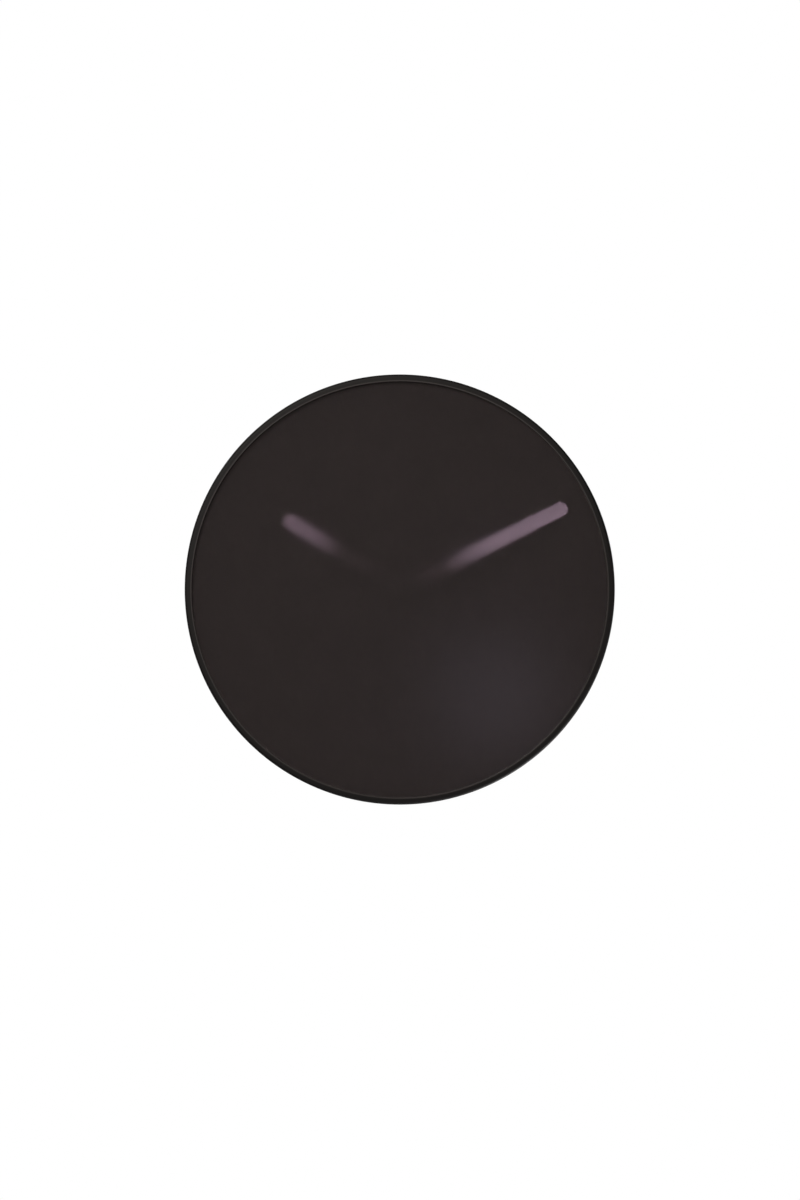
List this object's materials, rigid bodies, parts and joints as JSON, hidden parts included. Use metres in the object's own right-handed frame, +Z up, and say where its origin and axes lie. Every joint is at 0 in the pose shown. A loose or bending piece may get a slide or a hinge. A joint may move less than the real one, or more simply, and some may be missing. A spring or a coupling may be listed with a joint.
{
  "type": "wall clock",
  "caption": "Round black steel wall clock with a deep case, a frosted smoked lens, slanted bar hands and a geared quartz movement.",
  "frame": {"origin": "the axis of the nail that the clock hangs on, where it meets the wall; the clock's own axis is 122 mm below it", "axes": "+Z up, +Y into the wall along the clock's axis, so the face looks towards -Y, +X to the right as seen from the front"},
  "size_m": [0.3, 0.05, 0.3],
  "materials": {
    "black_steel": "satin black stoved enamel on spun steel",
    "matte_black_steel": "dead matte black paint on drawn steel",
    "zinc_steel": "bright zinc plating",
    "smoked_lens": "smoked glass, etched to a satin frost",
    "black_rubber": "moulded black rubber",
    "hand_aluminium": "mauve-grey lacquer on pressed aluminium",
    "brass": "turned brass",
    "black_plastic": "moulded black ABS, fine spark texture",
    "white_plastic": "moulded natural acetal",
    "battery_sleeve": "plain grey shrink sleeve, bare",
    "nickel_steel": "nickel-plated spring steel",
    "circuit_board": "green solder mask",
    "chip_resin": "black moulding resin",
    "silicon_steel": "stamped silicon steel",
    "copper_wire": "enamelled copper wire",
    "magnet": "sintered magnet"
  },
  "bodies": {
    "case": {"case_ring": "black_steel", "bezel": "black_steel", "lens": "smoked_lens", "lens_gasket": "black_rubber", "dial_dish": "matte_black_steel", "bezel_screw_1": "zinc_steel", "bezel_screw_2": "zinc_steel", "bezel_screw_3": "zinc_steel", "bezel_screw_4": "zinc_steel", "wall_pad_1": "black_rubber", "wall_pad_2": "black_rubber", "wall_pad_3": "black_rubber", "wall_pad_4": "black_rubber", "hanger_plate": "zinc_steel", "hanger_rivet_left": "zinc_steel", "hanger_rivet_right": "zinc_steel", "movement_housing": "black_plastic", "movement_cover": "black_plastic", "cover_screw_1": "zinc_steel", "cover_screw_2": "zinc_steel", "train_bridge": "white_plastic", "battery": "battery_sleeve", "positive_contact": "nickel_steel", "negative_contact": "nickel_steel", "circuit_board": "circuit_board", "driver_chip": "chip_resin", "quartz_crystal": "nickel_steel", "coil_core": "silicon_steel", "coil_bobbin": "white_plastic", "coil_winding": "copper_wire", "stator": "silicon_steel", "threaded_bushing": "brass", "rubber_washer": "black_rubber", "brass_washer": "brass", "hex_nut": "brass"},
    "minute_work": {"minute_shaft": "brass", "minute_hand": "hand_aluminium", "minute_hand_collet": "brass", "minute_hand_cap": "brass"},
    "hour_work": {"hour_wheel": "white_plastic", "hour_hand": "hand_aluminium", "hour_hand_collet": "brass"},
    "motion_work": {"motion_wheel": "white_plastic"},
    "setting_work": {"setting_shaft": "white_plastic", "setting_knob": "white_plastic"},
    "centre_work": {"centre_wheel": "brass"},
    "third_work": {"third_wheel": "white_plastic"},
    "seconds_work": {"seconds_wheel": "white_plastic"},
    "fifth_work": {"fifth_wheel": "white_plastic"},
    "rotor_work": {"rotor": "white_plastic", "rotor_magnet": "magnet"}
  },
  "joints": [
    {"name": "minute_spin", "type": "hinge", "parent": "case", "child": "minute_work", "pos_m": [0, 0, -0.122], "axis": [0, 1, 0], "continuous": true},
    {"name": "hour_spin", "type": "hinge", "parent": "case", "child": "hour_work", "pos_m": [0, 0, -0.122], "axis": [0, 1, 0], "continuous": true},
    {"name": "motion_spin", "type": "hinge", "parent": "case", "child": "motion_work", "pos_m": [0, 0, -0.11], "axis": [0, 1, 0], "continuous": true},
    {"name": "setting_spin", "type": "hinge", "parent": "case", "child": "setting_work", "pos_m": [0.012, 0, -0.11], "axis": [0, 1, 0], "continuous": true},
    {"name": "centre_spin", "type": "hinge", "parent": "case", "child": "centre_work", "pos_m": [0, 0, -0.122], "axis": [0, 1, 0], "continuous": true},
    {"name": "third_spin", "type": "hinge", "parent": "case", "child": "third_work", "pos_m": [-0.00935, 0, -0.1166], "axis": [0, 1, 0], "continuous": true},
    {"name": "seconds_spin", "type": "hinge", "parent": "case", "child": "seconds_work", "pos_m": [-0.00425, 0, -0.10777], "axis": [0, 1, 0], "continuous": true},
    {"name": "fifth_spin", "type": "hinge", "parent": "case", "child": "fifth_work", "pos_m": [0.00415, 0, -0.10777], "axis": [0, 1, 0], "continuous": true},
    {"name": "rotor_spin", "type": "hinge", "parent": "case", "child": "rotor_work", "pos_m": [0.00966, 0, -0.10314], "axis": [0, 1, 0], "continuous": true}
  ],
  "couplings": [
    {"joint": "hour_spin", "follows": "minute_spin", "ratio": 0.083333},
    {"joint": "motion_spin", "follows": "minute_spin", "ratio": -0.33333},
    {"joint": "setting_spin", "follows": "minute_spin", "ratio": 1},
    {"joint": "centre_spin", "follows": "minute_spin", "ratio": 1},
    {"joint": "third_spin", "follows": "minute_spin", "ratio": -8},
    {"joint": "seconds_spin", "follows": "minute_spin", "ratio": 60},
    {"joint": "fifth_spin", "follows": "minute_spin", "ratio": -360},
    {"joint": "rotor_spin", "follows": "minute_spin", "ratio": 1800}
  ]
}
